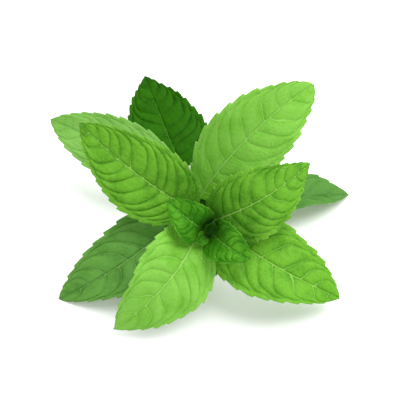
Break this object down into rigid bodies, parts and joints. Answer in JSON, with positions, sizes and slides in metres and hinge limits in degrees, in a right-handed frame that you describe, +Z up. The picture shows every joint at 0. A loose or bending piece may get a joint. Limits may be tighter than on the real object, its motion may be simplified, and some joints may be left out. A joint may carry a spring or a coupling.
{
  "type": "spearmint sprig",
  "caption": "Cut sprig top of spearmint lying down: a short square stem with crossed pairs of toothed, quilted leaves that shrink towards a leafy shoot tip.",
  "frame": {"origin": "on the surface that the sprig lies on, below the middle of the bounding box", "axes": "+Z up from the surface; -Y towards the viewer of the picture, the way the shoot tip points; +X to the viewer's right"},
  "size_m": [0.1117, 0.1245, 0.0541],
  "materials": {
    "grown_leaf": "satin",
    "young_leaf": "satin",
    "old_leaf": "satin",
    "stem": "satin"
  },
  "bodies": {
    "root": {"stem": "stem", "shoot_tip": "young_leaf", "leaf_1_left": "young_leaf", "leaf_1_right": "young_leaf", "leaf_2_left": "grown_leaf", "leaf_2_right": "grown_leaf", "leaf_3_left": "grown_leaf", "leaf_3_right": "grown_leaf", "leaf_4_left": "grown_leaf", "leaf_4_right": "grown_leaf", "leaf_5_left": "grown_leaf", "leaf_5_right": "grown_leaf", "leaf_6_back": "old_leaf", "leaf_6_front": "old_leaf"}
  },
  "joints": []
}
